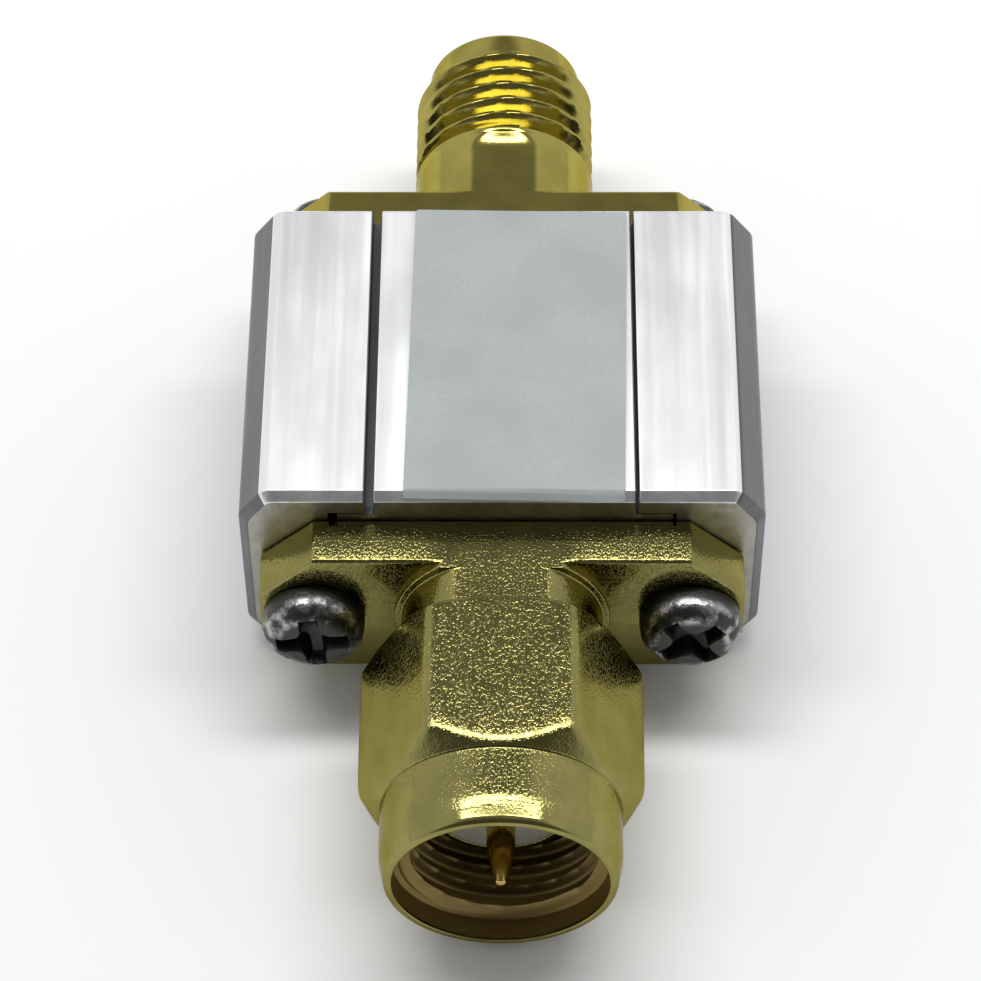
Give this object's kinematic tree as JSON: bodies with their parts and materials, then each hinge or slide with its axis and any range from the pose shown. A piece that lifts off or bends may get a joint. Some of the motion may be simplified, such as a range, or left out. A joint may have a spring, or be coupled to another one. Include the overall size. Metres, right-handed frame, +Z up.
{
  "type": "rf bandpass filter",
  "caption": "Small aluminium-bodied coaxial filter with a plug and turning hexagonal coupling nut on one end and a threaded jack on the other, each on a screwed gold-plated flange.",
  "frame": {"origin": "middle of the part's bounding box on the plane of the housing's underside", "axes": "+Y from the plug to the jack along the connectors' axis, +Z up through the labelled cover, +X to the right seen from the plug"},
  "size_m": [0.017, 0.0338, 0.0082],
  "materials": {
    "aluminium": "fine lengthwise brushed, clear passivated",
    "label_film": "satin silver-grey film",
    "gold_plate": "gold plated, bright turned",
    "gold_contact": "gold plated, polished",
    "spring_bronze": "bare spring wire",
    "screw_steel": "dark plated",
    "ptfe": "machined, waxy",
    "board_laminate": "woven laminate",
    "plated_copper": "gold-flashed copper foil",
    "chip_ceramic": "fired, matt",
    "coil_ferrite": "fired, matt",
    "solder": "bright, reflowed"
  },
  "bodies": {
    "filter_body": {"housing_channel": "aluminium", "housing_cover": "aluminium", "label": "label_film", "plug_flange": "gold_plate", "plug_insulator": "ptfe", "plug_centre_pin": "gold_contact", "nut_snap_ring": "spring_bronze", "jack_flange": "gold_plate", "jack_insulator": "ptfe", "jack_centre_contact": "gold_contact", "plug_screw_left": "screw_steel", "plug_screw_right": "screw_steel", "jack_screw_left": "screw_steel", "jack_screw_right": "screw_steel", "circuit_board": "board_laminate", "input_track": "plated_copper", "output_track": "plated_copper", "ground_copper_left": "plated_copper", "ground_copper_right": "plated_copper", "filter_chip": "chip_ceramic", "input_inductor": "coil_ferrite", "output_inductor": "coil_ferrite", "plug_solder": "solder", "jack_solder": "solder"},
    "nut_body": {"coupling_nut": "gold_plate"}
  },
  "joints": [
    {"name": "coupling_nut_spin", "type": "hinge", "parent": "filter_body", "child": "nut_body", "pos_m": [0, -0.01282, 0.00405], "axis": [0, 1, 0], "continuous": true}
  ]
}
